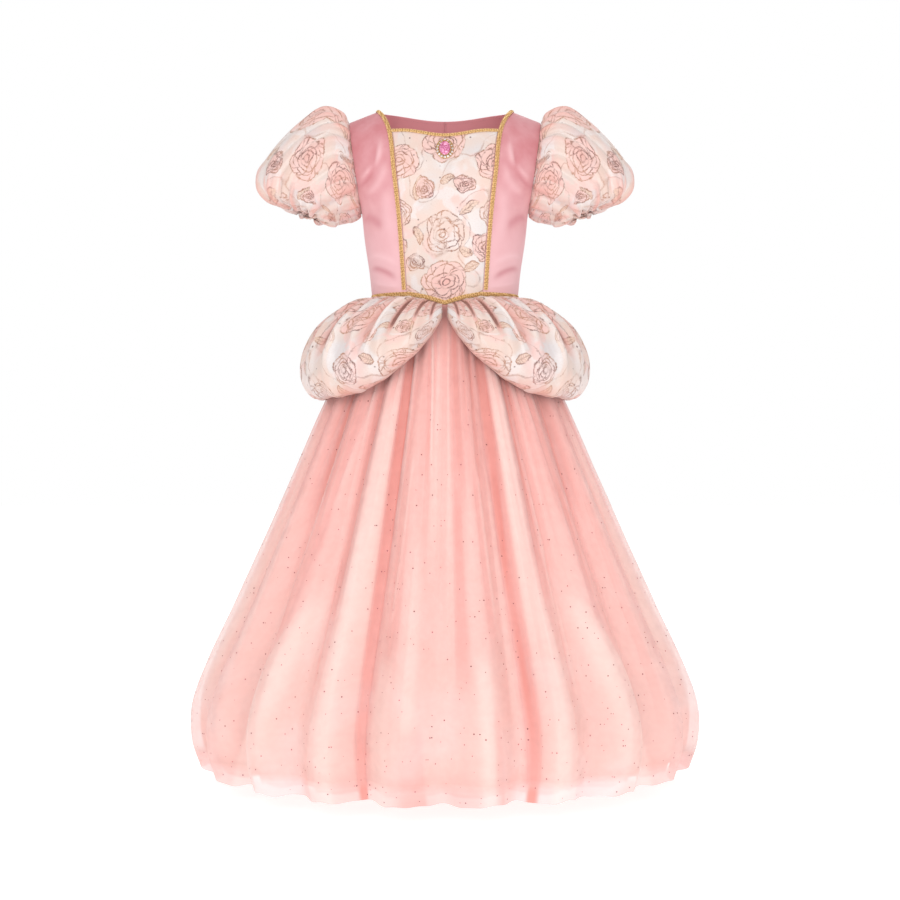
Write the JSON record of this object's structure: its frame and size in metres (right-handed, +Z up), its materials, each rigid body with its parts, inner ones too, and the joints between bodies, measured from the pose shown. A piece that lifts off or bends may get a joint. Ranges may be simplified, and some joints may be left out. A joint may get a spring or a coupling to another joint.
{
  "type": "princess costume dress",
  "caption": "Child's costume dress, filled out as worn: fitted bodice, puff sleeves, hip swags and a full skirt with a tulle overskirt.",
  "frame": {"origin": "midway between the neck ends of the two shoulder seams, where the wearer's shoulders hold the dress", "axes": "+Z up, the front of the dress faces -Y, the wearer's left is at +X"},
  "size_m": [0.6921, 0.6785, 0.9135],
  "materials": {
    "velour": "rose pink stretch velour",
    "brocade": "ivory and blush brocade with woven roses",
    "satin": "peach satin",
    "tulle": "sheer pink tulle with sparse glitter",
    "braid": "gold gimp braid",
    "setting": "gilt, with small clear crystals",
    "stone": "faceted pink glass"
  },
  "bodies": {
    "root": {"front_panel": "brocade", "side_front_left": "velour", "side_front_right": "velour", "back_left": "velour", "back_right": "velour", "sleeve_left": "brocade", "sleeve_right": "brocade", "satin_skirt_front": "satin", "satin_skirt_left": "satin", "satin_skirt_back": "satin", "satin_skirt_right": "satin", "tulle_overskirt": "tulle", "hip_swag_left": "brocade", "hip_swag_right": "brocade", "braid_neck": "braid", "braid_princess_left": "braid", "braid_princess_right": "braid", "braid_waist": "braid", "jewel_setting": "setting", "jewel_stone": "stone"}
  },
  "joints": []
}
